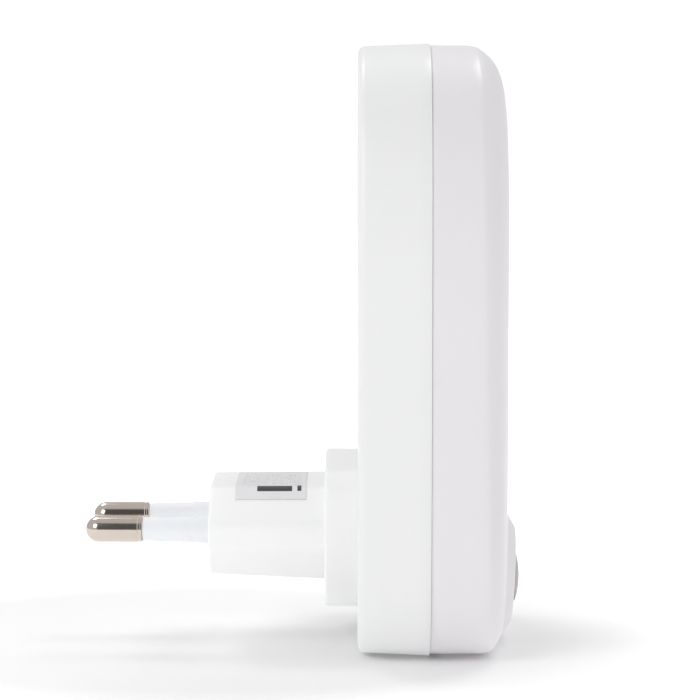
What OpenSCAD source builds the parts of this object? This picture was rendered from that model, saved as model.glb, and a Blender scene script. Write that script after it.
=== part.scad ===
/* [Case] */
// Width of the case across its widest part
case_w = 64; // [62:1:72]
// Height of the case
case_h = 92.5; // [90:0.1:96]
// Depth of the case's outline below the plug's axis, before its foot is cut flat
case_drop = 18.5; // [17.9:0.1:18.9]
// Depth of the rear shell, from its back to the seam
rear_d = 10.8; // [10.6:0.1:12]
// Depth of the front shell at the middle of its crowned face
front_d = 12.4; // [12.2:0.1:14]
// Wall thickness of both shells
wall = 1.8; // [1.6:0.1:2]
// Gap that shows between the two shells
seam_gap = 0.12; // [0.1:0.02:0.3]
// How squarely the upper half of the outline turns its corners
top_square = 3.4; // [3:0.1:5]
// How squarely the lower half of the outline turns its corners
bottom_square = 5; // [4:0.1:6]

/* [Plug] */
// Width of the plug block at the end that meets the socket
block_w = 35.3; // [34.8:0.1:36]
// Height of the plug block at that end
block_h = 13.3; // [13:0.1:14.4]
// Depth of the plug block
block_d = 17.5; // [17.2:0.1:18]
// Width of the flange between the plug block and the case
flange_w = 40; // [39:0.5:42]
// Height of the flange
flange_h = 20.6; // [19:0.2:21]
// Depth of the flange
flange_d = 5; // [4.8:0.1:5.5]
// Diameter of the bare metal end of each pin
pin_dia = 4; // [3.94:0.01:4.06]
// Length that each pin stands out of the plug block
pin_l = 19; // [18.5:0.1:19.5]
// Length of each pin that its sleeve covers
sleeve_l = 10.3; // [10:0.1:11]
// Distance between the pins where they leave the plug block
pin_pitch = 18.6; // [18.4:0.1:18.8]
// Distance between the pins at their tips
tip_pitch = 17.5; // [17.3:0.1:18]

/* [Button] */
// Diameter of the round button
button_dia = 8.2; // [7.8:0.1:8.6]
// Height of the button's centre above the plug's axis
button_z = -8.1; // [-8.3:0.1:-7.9]
// Gap around the button
button_gap = 0.25; // [0.2:0.05:0.35]
// How far the button travels
travel = 0.5; // [0.3:0.05:0.6]
// Radius of the raised pad at its foot
pad_r = 9.5; // [9:0.1:9.8]

/* [Display] */
// Width of the clear window
window_w = 37; // [34:0.5:38]
// Height of the clear window
window_h = 25; // [22:0.5:26]
// Height of the window's centre above the plug's axis
window_z = 46; // [44:0.5:47]

/* [Hidden] */

// The origin is the centre of the plug block's end face, midway between the pins.
// +Y runs out along the pins, -Y towards the front of the case, and +Z is up.
flange_z = -0.45;                         // height of the flange's middle
case_mid = case_h / 2 - case_drop;        // height of the case's middle
foot_z = 0.4 - case_drop;                 // flat foot that the case stands on
half_w = case_w / 2;
half_h = case_h / 2;
y_back = -(block_d + flange_d);           // back of the rear shell
y_seam = y_back - rear_d;                 // edge of the rear shell
y_rim = y_seam - seam_gap;                // edge of the front shell
y_floor = y_back - wall;                  // inside of the rear shell
draft = 0.4;                              // how much smaller the back is, on each side
step_in = 0.25;                           // how far the front shell sits inside the lip
tongue_l = 1.5;                           // length of the front shell's tongue
tongue_t = 0.75;
crown = 1.3;                              // drop of the front face from middle to edge
ring_n = 72;                              // points round the case

// Boards
board_t = 1.6;
power_y = -28;                            // back of the power board
power_front = power_y - board_t;
main_t = 1.2;
main_y = -37.3;                           // back of the main board
main_front = main_y - main_t;
board_w = 39;
header_at = [4, 41.6];                    // where the header joins the two boards

// Button and the raised pad it sits in
pad_top_r = 7.3;
pad_tilt = 2.8;
pad_rise = 1.42;                          // height of the pad's face above the shell
pad_y = y_seam - 13.4;                    // face of the pad at the button's centre
hole_r = button_dia / 2 + button_gap;
cap_rim_y = y_seam - 13.6;                // rim of the button's dome
cap_dome = 0.65;
guide_y = pad_y + 2.8;                    // inner end of the sleeve that guides the button
switch_h = 3.5;
plunger_r = 1.7;
plunger_y = main_front - switch_h - 1.1;  // tip of the switch's plunger
cap_back = plunger_y - 0.05;

// Window
lens_y = y_seam - 11.3;                   // front of the clear window
lens_t = 0.8;
gasket_t = 0.2;
ledge_y = lens_y + lens_t + gasket_t;     // step in the shell that the window is stuck to
view_w = window_w - 3.4;
view_h = window_h - 3.4;
glass_t = 2;
light_t = 1.6;

// Screws
case_screw_at = [[24, -7.4], [23.5, 57]];
boss_r = 3;
recess_r = 2.7;                           // hole for the head of a case screw
plug_screw_x = 14.5;
power_screw_at = [[16.4, -9.6], [16.4, 37]];
main_screw_at = [[16.6, -8.6], [16.6, 26]];

function expo(a) = sin(a) >= 0 ? top_square : bottom_square;
function signed_pow(v, p) = sign(v) * pow(abs(v), p);
// The point of the case's outline at angle a, where the outline is set in by u
function edge_point(u, a) = [
    (half_w - u) * signed_pow(cos(a), 2 / expo(a)),
    case_mid + (half_h - u) * signed_pow(sin(a), 2 / expo(a))
];
function ring(u, y) = [
    for (i = [0:ring_n - 1]) let (p = edge_point(u, 360 * (i + 0.5) / ring_n)) [p[0], y, p[1]]
];

// Depth of the front face in front of the seam, where it is set in by u.
// The edge is rounder at the top of the case than at its bottom.
function edge_drop(z) = 4 + (z - case_mid) / half_h;
function edge_len(z) = 1.9 + 0.45 * (z - case_mid) / half_h;
function face_depth(u, z) = front_d - crown * pow(1 - u / half_h, 2)
    - edge_drop(z) * exp(-u / edge_len(z));
function face_ring(u, behind) = [
    for (p = ring(u, 0)) [p[0], y_seam - face_depth(u, p[2]) + behind, p[2]]
];

// A closed solid through a stack of rings, listed from back to front
module loft(rings) {
    n = len(rings[0]);
    points = [for (r = rings) each r];
    last = (len(rings) - 1) * n;
    faces = concat(
        [[for (i = [0:n - 1]) i]],
        [[for (i = [0:n - 1]) last + n - 1 - i]],
        [for (k = [0:len(rings) - 2], i = [0:n - 1]) let (a = k * n + i, b = k * n + (i + 1) % n)
            each [[a, a + n, b], [b, a + n, b + n]]]
    );
    polyhedron(points = points, faces = faces, convexity = 6);
}

// A cylinder that runs from y0 back or forward to y1, at x and z
module rod(r, y0, y1, x = 0, z = 0, r2 = undef) {
    translate([x, y0, z]) rotate([y1 > y0 ? -90 : 90, 0, 0])
        cylinder(r1 = r, r2 = is_undef(r2) ? r : r2, h = abs(y1 - y0), $fn = 48);
}

// A block centred on x and z that runs from y0 to y1
module slab(w, h, y0, y1, x = 0, z = 0) {
    translate([x - w / 2, min(y0, y1), z - h / 2]) cube([w, abs(y1 - y0), h]);
}

// The same block with round corners in its outline
module round_slab(w, h, r, y0, y1, x = 0, z = 0) {
    translate([x, max(y0, y1), z]) rotate([90, 0, 0]) linear_extrude(abs(y1 - y0)) {
        square([w - 2 * r, h], center = true);
        square([w, h - 2 * r], center = true);
        for (sx = [-1, 1], sz = [-1, 1])
            translate([sx * (w / 2 - r), sz * (h / 2 - r)]) circle(r = r, $fn = 32);
    }
}

module both_sides(points) {
    for (p = points, s = [-1, 1]) translate([s * p[0], 0, p[1]]) children();
}

// A pan-head screw whose head sits in front of y, with its thread running to y + side * l
module screw(y, side, head_r, head_l, r, l) {
    difference() {
        union() {
            rod(head_r, y, y - side * head_l);
            rod(r, y, y + side * l);
        }
        for (a = [0, 90]) translate([0, y - side * head_l, 0]) rotate([0, a, 0])
            cube([head_r * 1.1, head_l, 0.6], center = true);
    }
}

// ---- Case ----

module rear_outer() {
    edge = 1.1;
    loft(concat(
        [for (a = [0:30:90]) ring(draft + edge * (1 - sin(a)), y_back - edge * (1 - cos(a)))],
        [ring(0, y_seam)]
    ));
}

module rear_shell() color("#eeeff1") {
    difference() {
        union() {
            difference() {
                rear_outer();
                loft([ring(wall + draft + 1, y_floor), ring(wall + draft, y_floor - 0.8),
                    ring(wall + 0.1, y_seam + tongue_l + 0.2), ring(wall + 0.1, y_seam - 1)]);
                loft([ring(wall / 2, y_seam + tongue_l + 0.2), ring(wall / 2, y_seam - 1)]);
            }
            both_sides(case_screw_at) rod(recess_r + 0.9, y_floor + 0.2, y_seam);
            both_sides(power_screw_at) rod(2.4, y_floor + 0.2, power_y);
        }
        // way in for the plug block's spigot, and the screws that hold it
        slab(24.2, 10.2, y_back + 1, y_floor - 1);
        for (s = [-1, 1]) rod(1.4, y_back + 1, y_floor - 1, s * plug_screw_x, 0);
        both_sides(case_screw_at) {
            rod(recess_r, y_back + 1, y_back - 3);
            rod(1.6, y_back, y_seam - 1);
        }
        both_sides(power_screw_at) rod(0.95, y_floor - 0.2, power_y - 1);
        below_foot();
    }
}

// What is cut away so that both shells stand flat
module below_foot() slab(case_w, 8, y_back + 1, y_seam - 14, 0, foot_z - 4);

module front_outer() {
    loft(concat(
        [ring(step_in, y_rim), ring(step_in + 0.05, y_seam - 5.5)],
        [for (u = [0.35, 0.7, 1.2, 1.9, 2.8, 4, 5.5, 8, 12, 18, 25]) face_ring(u, 0)],
        [ring(30.5, y_seam - face_depth(30.5, case_mid))]
    ));
}

// The raised pad that the button sits in, or the hollow behind it when inset is above 0
module pad(inset) {
    foot = 3.2;
    foot_r = pad_top_r + (pad_r - pad_top_r) * foot / pad_rise;
    translate([0, pad_y + inset, button_z]) rotate([pad_tilt, 0, 0])
        rod(foot_r - inset, foot, 0, r2 = pad_top_r - inset);
}

module front_shell() color("#e5e3e8") {
    difference() {
        union() {
            difference() {
                union() {
                    front_outer();
                    intersection() {
                        pad(0);
                        loft([ring(step_in + 0.4, y_seam - 5), ring(step_in + 0.4, y_seam - 16)]);
                    }
                }
                loft(concat(
                    [ring(wall + step_in, y_seam + 1), ring(wall + step_in, y_seam - 4.5)],
                    [for (u = [wall + 0.7, 3.2, 4.2, 6, 9, 14, 22]) face_ring(u, wall)],
                    [ring(30, y_seam - face_depth(30, case_mid) + wall)]
                ));
                intersection() {
                    pad(wall);
                    loft([ring(wall + 1, y_seam - 5), ring(wall + 1, y_seam - 16)]);
                }
            }
            // tongue that slides into the rear shell's rebate
            difference() {
                loft([ring(wall / 2 + 0.12, y_seam + tongue_l), ring(wall / 2 + 0.12, y_seam - 2)]);
                loft([ring(wall / 2 + 0.12 + tongue_t + 0.1, y_seam + 3),
                    ring(wall + step_in + 0.01, y_seam - 3)]);
                both_sides(case_screw_at) rod(recess_r + 1.1, y_seam + 3, y_seam - 0.1);
            }
            both_sides(case_screw_at) rod(boss_r, y_seam - 0.2, y_seam - 9.8);
            both_sides(main_screw_at) rod(2.2, main_front, y_seam - 11);
            // sleeve that guides the button, and the rim that backs the window
            rod(hole_r + 1.3, guide_y, pad_y + 0.6, 0, button_z);
            round_slab(window_w + 4.8, window_h + 4, 3, ledge_y + 0.8, ledge_y - 0.5, 0, window_z);
        }
        rod(hole_r, guide_y + 1, y_seam - 16, 0, button_z);
        both_sides(case_screw_at) rod(1.05, y_seam + 1, y_seam - 8.4);
        both_sides(main_screw_at) rod(0.8, main_front + 1, main_front - 4.6);
        // recess for the clear window, and the opening behind it
        round_slab(window_w + 0.3, window_h + 0.3, 2.15, ledge_y, y_seam - 14, 0, window_z);
        round_slab(view_w, view_h, 1.2, y_seam - 8, y_seam - 14, 0, window_z);
        // notches for prising the case open
        for (s = [-1, 1]) translate([s * 17, y_rim - 0.3, foot_z + 0.05])
            rotate([45, 0, 0]) cube([5, 1.8, 1.8], center = true);
        below_foot();
    }
}

// ---- Plug ----

// Outline of the plug block: a long hexagon with blunt ends, top and bottom given apart
function block_outline(hw, top, bottom) = [
    [hw, -1.5], [hw, 1.5], [hw - 0.8, 2.6], [hw - 6.4, top - 0.35], [hw - 7.8, top],
    [-hw + 7.8, top], [-hw + 6.4, top - 0.35], [-hw + 0.8, 2.6], [-hw, 1.5],
    [-hw, -1.5], [-hw + 0.8, -2.6], [-hw + 6.4, -bottom + 0.35], [-hw + 7.8, -bottom],
    [hw - 7.8, -bottom], [hw - 6.4, -bottom + 0.35], [hw - 0.8, -2.6]
];
// The block widens a little towards the flange, most of all underneath
function block_grow(y) = -y / block_d;
function block_hw(y) = block_w / 2 + 0.35 * block_grow(y);
function block_top(y) = block_h / 2 + 0.15 * block_grow(y);
function block_low(y) = block_h / 2 + 0.7 * block_grow(y);
function flat_ring(outline, y) = [for (p = outline) [p[0], y, p[1]]];
spread = atan((pin_pitch - tip_pitch) / 2 / pin_l);

// Puts its children at a pin's place in the end face, leaning as the pin does
module at_pin(s) {
    translate([s * pin_pitch / 2, 0, 0]) rotate([0, 0, s * spread]) children();
}

module plug_block() color("#f3f4f6") {
    difference() {
        union() {
            loft([for (y = [0, -block_d - 0.5])
                flat_ring(block_outline(block_hw(y), block_top(y), block_low(y)), y)]);
            round_slab(flange_w, flange_h, 4.2, -block_d, y_back, 0, flange_z);
            slab(23.8, 9.8, y_back + 0.5, y_back - 3.9);
        }
        for (s = [-1, 1]) at_pin(s) {
            rod(2.2, 1, -0.9);
            rod(1.42, 1, -13);
            rod(1.15, -12, -30);
        }
        for (s = [-1, 1]) rod(1.05, y_back - 1, y_back + 11, s * plug_screw_x, 0);
    }
}

module pin(s) color("#c2b3a6") at_pin(s) {
    rod(pin_dia / 2, sleeve_l, pin_l - pin_dia / 2);
    translate([0, pin_l - pin_dia / 2, 0]) intersection() {
        sphere(r = pin_dia / 2, $fn = 48);
        slab(8, 8, 0, 8);
    }
    rod(1.4, sleeve_l, -13);
    rod(1.1, -13, power_y + 0.1);
    rod(0.6, power_y + 0.1, power_front - 1);
}

// A sleeve tapers from the block's face to the bare metal, with a small ring near its root
module sleeve(s) color("#eef0f4") at_pin(s) difference() {
    union() {
        rod(2.15, -0.8, 3.1, r2 = 2.05);
        rod(1.98, 3.1, sleeve_l, r2 = 1.82);
    }
    rod(1.42, -1, sleeve_l + 1);
}

// The sticker lies on the block's top and folds down its left side
label_from = -3.95;
label_l = 10.7;
function label_ring(y) = let (
    hw = block_hw(y), top = block_top(y), t = 0.12, lift = 0.03,
    path = [[8 + block_w / 2 - hw, top], [-hw + 7.8, top], [-hw + 6.4, top - 0.35], [-hw + 4.6, top - 1.54]],
    tilt = [[0, 1], [-0.1, 0.99], [-0.4, 0.92], [-0.55, 0.83]]
) flat_ring(concat(
    [for (i = [0:3]) path[i] + tilt[i] * (lift + t)],
    [for (i = [3:-1:0]) path[i] + tilt[i] * lift]
), y);
// Its two ends are made of four-sided faces, because its bent outline is hollow on one side
module rating_label() color("#dcdce0") {
    rings = [label_ring(label_from), label_ring(label_from - label_l)];
    sides = [for (i = [0:7]) [i, i + 8, (i + 1) % 8 + 8, (i + 1) % 8]];
    ends = [for (i = [0:2]) each [[i, i + 1, 6 - i, 7 - i], [15 - i, 14 - i, i + 9, i + 8]]];
    polyhedron(points = [for (r = rings) each r], faces = concat(sides, ends), convexity = 4);
}

module plug_screws() color("#8d9096")
    for (s = [-1, 1]) translate([s * plug_screw_x, 0, 0]) screw(y_floor, 1, 2.3, 1.5, 1, 11);

// ---- Power board ----

module power_board() color("#2f6b43") difference() {
    round_slab(board_w, 56, 1.5, power_y, power_front, 0, 15.5);
    for (s = [-1, 1]) at_pin(s) rod(0.75, power_y + 2, power_front - 2);
    both_sides(power_screw_at) rod(1.25, power_y + 1, power_front - 1);
}

module power_board_screws() color("#8d9096") both_sides(power_screw_at)
    screw(power_front, 1, 2, 1.3, 0.9, 4.4);

module safety_resistor() color("#5f8f86") translate([-9.6, power_front - 2.1, 9.4]) {
    rotate([0, 90, 0]) cylinder(r = 1.8, h = 9, center = true, $fn = 40);
    for (s = [-1, 1]) {
        translate([s * 5.4, 0, 0]) rotate([0, 90, 0])
            cylinder(r = 0.35, h = 2.2, center = true, $fn = 20);
        rod(0.35, -0.3, 2.1, s * 6.3, 0);
    }
}

module surge_disc() color("#2f63a8") {
    rod(4.6, power_front - 0.6, power_front - 4.2, 0, -7.2);
    for (s = [-1, 1]) rod(0.35, power_front, power_front - 0.8, s * 2.5, -7.2);
}

module filter_capacitor() color("#d8b23c") {
    round_slab(13, 10, 0.8, power_front - 0.1, power_front - 5.6, 9.4, 13.4);
}

module line_choke() color("#3c8a4e") translate([-9.6, power_front - 2.4, 15]) {
    rotate([0, 90, 0]) cylinder(r = 2.2, h = 9.6, center = true, $fn = 40);
    for (s = [-1, 1]) translate([s * 5.6, 0, 0]) {
        rotate([0, 90, 0]) cylinder(r = 0.35, h = 1.8, center = true, $fn = 20);
        rod(0.35, -0.3, 2.4, s * 0.7, 0);
    }
}

// A moulded package with legs along its two long sides
module package(w, h, t, legs, pitch, y, x, z) {
    slab(w, h, y - 0.2, y - t, x, z);
    for (i = [0:legs - 1], s = [-1, 1])
        slab(1.2, 0.5, y, y - 0.6, x + s * (w / 2 + 0.4), z + (i - (legs - 1) / 2) * pitch);
}

module bridge_rectifier() color("#26282c")
    package(6.4, 8.2, 2.6, 2, 5.1, power_front, -13, 21.8);

module storage_capacitors() color("#3a4c7a") for (z = [24.4, 31.4])
    translate([8.6, power_front - 3.1, z]) rotate([0, 90, 0]) difference() {
        cylinder(r = 3, h = 12, center = true, $fn = 48);
        for (s = [-1, 1]) translate([0, 0, s * 6]) cylinder(r = 2, h = 0.5, center = true, $fn = 40);
    }

module transformer() color("#c9a227") {
    // ferrite core round a bobbin
    slab(11.6, 2.6, power_front - 0.5, power_front - 6.2, -6, 36.2);
    slab(11.6, 2.6, power_front - 0.5, power_front - 6.2, -6, 28.6);
    slab(9.6, 5.2, power_front - 0.3, power_front - 6, -6, 32.4);
}

module supply_chip() color("#26282c") package(3.9, 5, 1.7, 4, 1.27, power_front, -4.6, 22);

module optocoupler() color("#e8e4da") package(4.6, 4.4, 3, 2, 2.54, power_front, 5.5, 37);

module output_capacitor() color("#2a2f38") translate([-7, power_front - 2.6, 40.7])
    rotate([0, 90, 0]) cylinder(r = 2.5, h = 9, center = true, $fn = 40);

module board_header() color("#2b2b2e") {
    slab(10.2, 2.5, power_front, main_y, header_at[0], header_at[1]);
    for (i = [-1.5:1.5])
        slab(0.6, 0.6, main_y, main_front, header_at[0] + i * 2.54, header_at[1]);
}

module insulator_sheet() color("#ece6cf") slab(38, 52, main_y + 1.05, main_y + 1.25, 0, 13.5);

// ---- Main board ----

module main_board() color("#27613c") difference() {
    round_slab(board_w, 74, 1.5, main_y, main_front, 0, 24.5);
    both_sides(main_screw_at) rod(1.05, main_y + 1, main_front - 1);
    for (i = [-1.5:1.5])
        slab(0.64, 0.64, main_y + 1, main_front - 1, header_at[0] + i * 2.54, header_at[1]);
}

module main_board_screws() color("#8d9096") both_sides(main_screw_at)
    screw(main_y, -1, 1.7, 1, 0.75, 5);

module controller_chip() color("#26282c") {
    slab(9, 9, main_front - 0.1, main_front - 1.5, 8.6, 17.5);
    for (i = [-3.5:3.5], s = [-1, 1]) {
        slab(1.4, 0.35, main_front, main_front - 0.7, 8.6 + s * 5.2, 17.5 + i);
        slab(0.35, 1.4, main_front, main_front - 0.7, 8.6 + i, 17.5 + s * 5.2);
    }
}

module clock_crystal() color("#b9bcc2")
    round_slab(10.2, 3.8, 1.85, main_front, main_front - 3.2, 8.6, 7.6);

module radio_module() color("#c6c8cc") {
    slab(13, 16, main_front, main_front - 0.8, -9.4, 14.6);
    slab(11.4, 11.6, main_front - 0.8, main_front - 2.6, -9.4, 13);
}

module antenna() color("#b9a06a") {
    slab(20, 0.5, main_front, main_front - 3, -2, 29.2);
    slab(20, 2, main_front - 2.6, main_front - 3, -2, 28.4);
    for (x = [-11.5, -6]) slab(0.8, 0.5, main_front, main_front - 2.8, x, 28.8);
}

module switch_housing() color("#2b2d31") difference() {
    slab(6.2, 6.2, main_front, main_front - switch_h, 0, button_z);
    rod(plunger_r + 0.1, main_front - 0.8, main_front - switch_h - 1, 0, button_z);
}

module switch_plunger() color("#e6e2d8") {
    rod(plunger_r, plunger_y, main_front - 0.9 - travel, 0, button_z);
}

// The cap is a shallow dome with a collar behind it that stops it falling out of its hole
module button_cap() color("#aaa6a2") {
    r = button_dia / 2;
    dome_r = (r * r + cap_dome * cap_dome) / (2 * cap_dome);
    intersection() {
        translate([0, cap_rim_y - cap_dome + dome_r, button_z]) sphere(r = dome_r, $fn = 96);
        rod(r, cap_back, cap_rim_y - 2, 0, button_z);
    }
    rod(hole_r + 0.85, cap_back, guide_y + 0.1, 0, button_z);
}

// ---- Display ----

module backlight() color("#f7f7f2")
    slab(34, 21.4, main_front - 0.05, main_front - light_t, 0, window_z);

// Rubber strips that carry the signals from the board to the edges of the glass
module connector_strips() color("#5b5e66") for (s = [-1, 1])
    slab(33, 1.6, main_front, main_front - light_t - 0.05, 0, window_z + s * 11.9);

module display_glass() color("#b7c2b4")
    slab(36.4, 26, main_front - light_t - 0.05, main_front - light_t - glass_t, 0, window_z);

module display_frame() color("#d9dade") difference() {
    slab(39, 28.6, main_front, main_front - light_t - glass_t - 0.6, 0, window_z);
    slab(36.8, 26.4, main_front + 1, main_front - light_t - glass_t - 0.05, 0, window_z);
    slab(34.4, 23, main_front, main_front - 8, 0, window_z);
}

module lens_gasket() color("#3a3c40") difference() {
    round_slab(window_w - 0.4, window_h - 0.4, 1.8, ledge_y, lens_y + lens_t, 0, window_z);
    round_slab(view_w, view_h, 1.2, lens_y + 4, lens_y - 1, 0, window_z);
}

module window_lens() color("#c9d2d6", 0.5)
    round_slab(window_w, window_h, 2, lens_y + lens_t, lens_y, 0, window_z);

// ---- Fasteners of the case ----

module case_screws() color("#8d9096") both_sides(case_screw_at)
    screw(y_back - 3, -1, 2.4, 1.6, 1, 13);

rear_shell();
front_shell();
plug_block();
pin(-1);  // pin_left
pin(1);  // pin_right
sleeve(-1);  // sleeve_left
sleeve(1);  // sleeve_right
rating_label();
window_lens();
lens_gasket();
display_glass();
display_frame();
backlight();
connector_strips();
button_cap();
switch_housing();
switch_plunger();
main_board();
controller_chip();
clock_crystal();
radio_module();
antenna();
board_header();
insulator_sheet();
power_board();
safety_resistor();
surge_disc();
filter_capacitor();
bridge_rectifier();
storage_capacitors();
line_choke();
transformer();
supply_chip();
optocoupler();
output_capacitor();
case_screws();
plug_screws();
power_board_screws();
main_board_screws();
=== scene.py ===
import math
import bmesh
import bpy
import numpy as np
from mathutils import Matrix, Vector
from mathutils.geometry import delaunay_2d_cdt


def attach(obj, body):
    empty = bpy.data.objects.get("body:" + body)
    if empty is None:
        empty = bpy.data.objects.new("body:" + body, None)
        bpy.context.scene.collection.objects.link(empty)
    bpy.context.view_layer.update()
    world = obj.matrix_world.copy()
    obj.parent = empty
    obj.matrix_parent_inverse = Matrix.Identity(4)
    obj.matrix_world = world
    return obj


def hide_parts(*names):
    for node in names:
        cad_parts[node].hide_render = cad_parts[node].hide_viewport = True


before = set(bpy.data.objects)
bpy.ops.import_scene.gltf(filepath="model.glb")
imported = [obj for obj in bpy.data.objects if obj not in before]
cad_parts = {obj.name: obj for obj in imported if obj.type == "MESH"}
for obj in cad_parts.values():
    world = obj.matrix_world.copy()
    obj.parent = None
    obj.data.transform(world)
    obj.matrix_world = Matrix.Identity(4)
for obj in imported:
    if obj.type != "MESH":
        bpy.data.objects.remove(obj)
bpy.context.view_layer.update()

mm = 0.001
print("frame loaded:", len(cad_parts), "nodes")

# Surfaces. Each is a pair (points in mm, triangles), and a piece is a list of them


# Triangles between each row of points and the next. Rows close on themselves.
def band(rows):
    rows = np.asarray(rows, float)
    count, size = rows.shape[:2]
    start = np.arange(count - 1)[:, None] * size
    a = start + np.arange(size)
    b = start + (np.arange(size) + 1) % size
    quads = np.stack([a, b, b + size, a + size], -1).reshape(-1, 4)
    return rows.reshape(-1, 3), np.concatenate([quads[:, [0, 1, 2]], quads[:, [0, 2, 3]]])


# A fan from the middle of a ring to its edge
def disc(ring):
    ring = np.asarray(ring, float)
    size = len(ring)
    i = np.arange(size)
    fan = np.stack([i, (i + 1) % size, np.full(size, size)], 1)
    return np.vstack([ring, ring.mean(0)]), fan


# Even-odd rule: a point is inside where a ray to its right crosses the loop an odd number of times
def insideLoop(points, loop):
    x, z = points[:, 0:1], points[:, 1:2]
    x0, z0 = loop[:, 0], loop[:, 1]
    x1, z1 = np.roll(x0, -1), np.roll(z0, -1)
    rise = np.where(z1 == z0, 1e-12, z1 - z0)
    crossed = ((z0 > z) != (z1 > z)) & (x < x0 + (z - z0) * (x1 - x0) / rise)
    return crossed.sum(1) % 2 == 1


# A sheet between an outer loop and its holes, seen along Y. Free points get y = height(x, z).
def sheetBetween(outer, holes, free, height, clear=0.45):
    loops = [np.asarray(loop, float) for loop in [outer] + holes]
    rim = np.vstack(loops)
    free = free[insideLoop(free, loops[0][:, [0, 2]])]
    for loop in loops[1:]:
        free = free[~insideLoop(free, loop[:, [0, 2]])]
    gap = np.hypot(free[:, 0:1] - rim[:, 0], free[:, 1:2] - rim[:, 2]).min(1)
    free = free[gap > clear]
    flat = np.vstack([rim[:, [0, 2]], free])
    starts = np.cumsum([0] + [len(loop) for loop in loops])
    edges = np.vstack([
        np.stack([s + np.arange(len(p)), s + (np.arange(len(p)) + 1) % len(p)], 1)
        for s, p in zip(starts, loops)
    ])
    result = delaunay_2d_cdt(flat.tolist(), edges.tolist(), [], 0, 1e-7)
    source = np.array([ids[0] for ids in result[3]])
    triangles = source[np.array(result[2])]
    middle = flat[triangles].mean(1)
    keep = insideLoop(middle, loops[0][:, [0, 2]])
    for loop in loops[1:]:
        keep &= ~insideLoop(middle, loop[:, [0, 2]])
    y = np.concatenate([rim[:, 1], height(free[:, 0], free[:, 1])])
    return np.stack([flat[:, 0], y, flat[:, 1]], 1), triangles[keep]


# Each corner of a line gives way to a quadratic curve that starts one trim length before it
def eased(corners, trims, steps=4, closed=False):
    corners = np.asarray(corners, float)
    trims = np.broadcast_to(trims, len(corners))
    t = np.linspace(0, 1, steps + 1)[:, None]
    line = []
    for i, corner in enumerate(corners):
        if not closed and i in (0, len(corners) - 1) or trims[i] == 0:
            line.append(corner[None])
            continue
        before, after = corners[i - 1] - corner, corners[(i + 1) % len(corners)] - corner
        reach = min(trims[i], 0.48 * np.linalg.norm(before), 0.48 * np.linalg.norm(after))
        start = corner + before / np.linalg.norm(before) * reach
        end = corner + after / np.linalg.norm(after) * reach
        line.append((1 - t) ** 2 * start + 2 * t * (1 - t) * corner + t ** 2 * end)
    return np.vstack(line)


# A profile of (radius, y) turned about the line through x and z that runs along Y
def turned(profile, count=64, x=0.0, z=0.0):
    profile = np.asarray(profile, float)
    angle = np.arange(count) * 2 * np.pi / count
    r, y = profile[:, 0:1], profile[:, 1:2]
    rows = np.stack([x + r * np.cos(angle), y + 0 * angle, z + r * np.sin(angle)], -1)
    return band(rows)


# A rectangle with round corners as a loop of (x, z), with the same count of points at any size
def roundBox(width, height, radius, x=0.0, z=0.0, along=10, corner=8):
    a = np.linspace(0, np.pi / 2, corner + 1)
    arc = radius * np.stack([np.cos(a), np.sin(a)], 1)
    w, h = width / 2 - radius, height / 2 - radius
    turnsBy = [(1, 1, w, h), (-1, 1, -w, h), (-1, -1, -w, -h), (1, -1, w, -h)]
    pieces = [
        np.array([cx, cz]) + (arc if sx * sz > 0 else arc[::-1]) * [sx, sz]
        for sx, sz, cx, cz in turnsBy
    ]
    t = np.linspace(0, 1, along + 1)[1:-1, None]
    loop = []
    for i, part in enumerate(pieces):
        follow = pieces[(i + 1) % 4][0]
        loop += [part, part[-1] * (1 - t) + follow * t]
    return np.vstack(loop) + [x, z]


def circle(radius, x=0.0, z=0.0, count=48):
    a = np.arange(count) * 2 * np.pi / count
    return np.stack([x + radius * np.cos(a), z + radius * np.sin(a)], 1)


# Puts a loop of (x, z) at height y, which may be one number or one per point
def atY(loop, y):
    return np.stack([loop[:, 0], np.broadcast_to(y, len(loop)), loop[:, 1]], 1)


# Rows of points over a rectangle, every second one shifted by half a step
def scatter(low, high, step):
    xs = np.arange(low[0], high[0], step)
    zs = np.arange(low[1], high[1], step * 0.866)
    grid = np.stack(np.meshgrid(xs, zs), -1)
    grid[1::2, :, 0] += step / 2
    return grid.reshape(-1, 2)


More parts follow.
